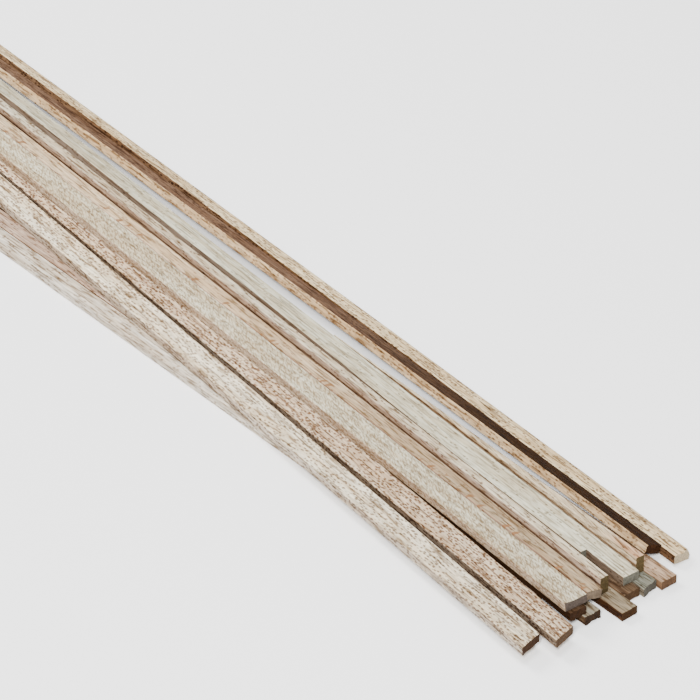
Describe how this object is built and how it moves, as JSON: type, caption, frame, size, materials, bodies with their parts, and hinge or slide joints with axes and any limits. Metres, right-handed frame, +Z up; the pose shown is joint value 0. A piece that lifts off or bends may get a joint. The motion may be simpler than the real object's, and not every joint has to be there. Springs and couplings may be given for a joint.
{
  "type": "balsa strip bundle",
  "caption": "Loose bundle of straight balsa strips in two widths for model making, lying in crossed layers that fan out. Each strip can be drawn out lengthwise.",
  "frame": {"origin": "on the table, under the middle of the bundle's bounding box", "axes": "+X along the strips towards their near ends, +Y to the right seen from those ends, +Z up"},
  "size_m": [0.6454, 0.1154, 0.0149],
  "materials": {
    "pale_balsa": "bare sawn balsa, matt",
    "cream_balsa": "bare sawn balsa, matt",
    "tan_balsa": "bare sawn balsa, matt",
    "pink_balsa": "bare sawn balsa, matt",
    "grey_balsa": "bare sawn balsa, matt"
  },
  "bodies": {
    "bottom_strip_5": {"bottom_strip_5": "pink_balsa"},
    "bottom_strip_1": {"bottom_strip_1": "grey_balsa"},
    "bottom_strip_2": {"bottom_strip_2": "pink_balsa"},
    "bottom_strip_3": {"bottom_strip_3": "grey_balsa"},
    "bottom_strip_4": {"bottom_strip_4": "grey_balsa"},
    "bottom_strip_6": {"bottom_strip_6": "pale_balsa"},
    "bottom_strip_7": {"bottom_strip_7": "tan_balsa"},
    "fanned_strip_1": {"fanned_strip_1": "pale_balsa"},
    "fanned_strip_2": {"fanned_strip_2": "cream_balsa"},
    "edge_strip": {"edge_strip": "cream_balsa"},
    "split_strip": {"split_strip": "pale_balsa"},
    "tapered_offcut": {"tapered_offcut": "cream_balsa"},
    "short_strip": {"short_strip": "tan_balsa"},
    "wide_top_strip": {"wide_top_strip": "pale_balsa"},
    "tipped_strip": {"tipped_strip": "pink_balsa"},
    "leaning_strip": {"leaning_strip": "tan_balsa"},
    "outer_strip": {"outer_strip": "cream_balsa"}
  },
  "joints": [
    {"name": "bottom_strip_1_slide", "type": "slide", "parent": "bottom_strip_5", "child": "bottom_strip_1", "axis": [-0.9993, -0.0361, 0], "range_m": [0, 0.65]},
    {"name": "bottom_strip_2_slide", "type": "slide", "parent": "bottom_strip_5", "child": "bottom_strip_2", "axis": [-0.9993, -0.0361, 0], "range_m": [0, 0.65]},
    {"name": "bottom_strip_3_slide", "type": "slide", "parent": "bottom_strip_5", "child": "bottom_strip_3", "axis": [-0.9993, -0.0361, 0], "range_m": [0, 0.65]},
    {"name": "bottom_strip_4_slide", "type": "slide", "parent": "bottom_strip_5", "child": "bottom_strip_4", "axis": [-0.9993, -0.0361, 0], "range_m": [0, 0.65]},
    {"name": "bottom_strip_6_slide", "type": "slide", "parent": "bottom_strip_5", "child": "bottom_strip_6", "axis": [-0.9993, -0.0361, 0], "range_m": [0, 0.65]},
    {"name": "bottom_strip_7_slide", "type": "slide", "parent": "bottom_strip_5", "child": "bottom_strip_7", "axis": [-0.9993, -0.0361, 0], "range_m": [0, 0.65]},
    {"name": "fanned_strip_1_slide", "type": "slide", "parent": "bottom_strip_5", "child": "fanned_strip_1", "axis": [0.9986, -0.0523, 0], "range_m": [0, 0.65]},
    {"name": "fanned_strip_2_slide", "type": "slide", "parent": "bottom_strip_5", "child": "fanned_strip_2", "axis": [0.9988, -0.0489, 0], "range_m": [0, 0.65]},
    {"name": "edge_strip_slide", "type": "slide", "parent": "bottom_strip_5", "child": "edge_strip", "axis": [0.9997, -0.0244, 0], "range_m": [0, 0.65]},
    {"name": "split_strip_slide", "type": "slide", "parent": "bottom_strip_5", "child": "split_strip", "axis": [0.9998, -0.0175, 0], "range_m": [0, 0.65]},
    {"name": "tapered_offcut_slide", "type": "slide", "parent": "bottom_strip_5", "child": "tapered_offcut", "axis": [0.9998, -0.0175, 0], "range_m": [0, 0.3]},
    {"name": "short_strip_slide", "type": "slide", "parent": "bottom_strip_5", "child": "short_strip", "axis": [0.9994, -0.034, 0], "range_m": [0, 0.3]},
    {"name": "wide_top_strip_slide", "type": "slide", "parent": "bottom_strip_5", "child": "wide_top_strip", "axis": [0.9997, -0.0258, 0], "range_m": [0, 0.65]},
    {"name": "tipped_strip_slide", "type": "slide", "parent": "bottom_strip_5", "child": "tipped_strip", "axis": [0.9997, -0.0244, 0], "range_m": [0, 0.65]},
    {"name": "leaning_strip_slide", "type": "slide", "parent": "bottom_strip_5", "child": "leaning_strip", "axis": [1, 0, 0], "range_m": [0, 0.65]},
    {"name": "outer_strip_slide", "type": "slide", "parent": "bottom_strip_5", "child": "outer_strip", "axis": [1, 0, 0], "range_m": [0, 0.65]}
  ]
}
